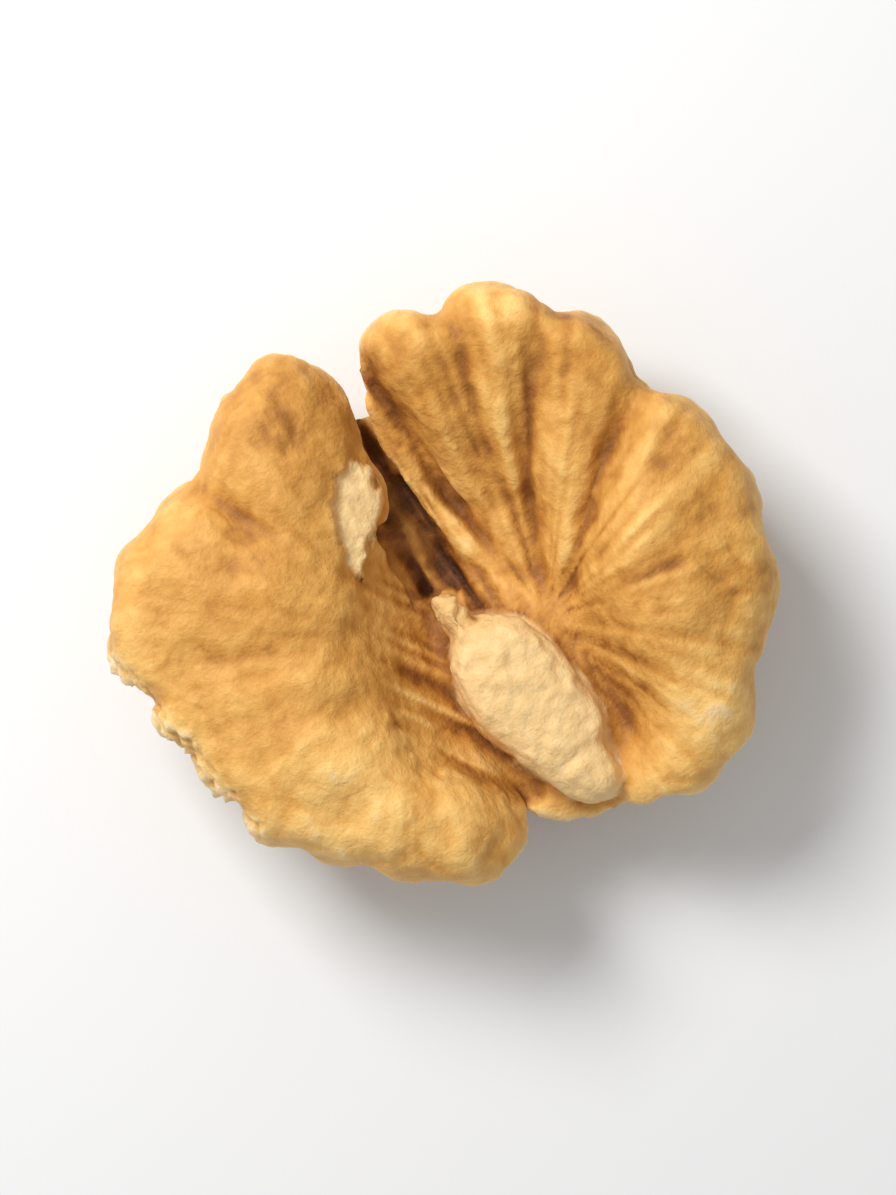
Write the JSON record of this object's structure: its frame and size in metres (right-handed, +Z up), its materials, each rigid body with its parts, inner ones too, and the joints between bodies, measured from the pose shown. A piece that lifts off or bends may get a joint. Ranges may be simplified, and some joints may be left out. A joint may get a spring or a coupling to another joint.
{
  "type": "walnut kernel half",
  "caption": "Shelled walnut kernel half: ribbed wings either side of a deep groove, pale join scar, knobbly folded back, lying with its inner face up.",
  "frame": {"origin": "bottom centre of the kernel's bounding box, where it rests on its rounded back", "axes": "+X across the wings to the wing with the ribbed fan, +Y along the groove towards its open notch, +Z up out of the inner face"},
  "size_m": [0.0316, 0.0298, 0.0134],
  "materials": {
    "walnut_skin": "thin matt seed skin, golden tan, wrinkled"
  },
  "bodies": {
    "root": {"walnut_half": "walnut_skin"}
  },
  "joints": []
}
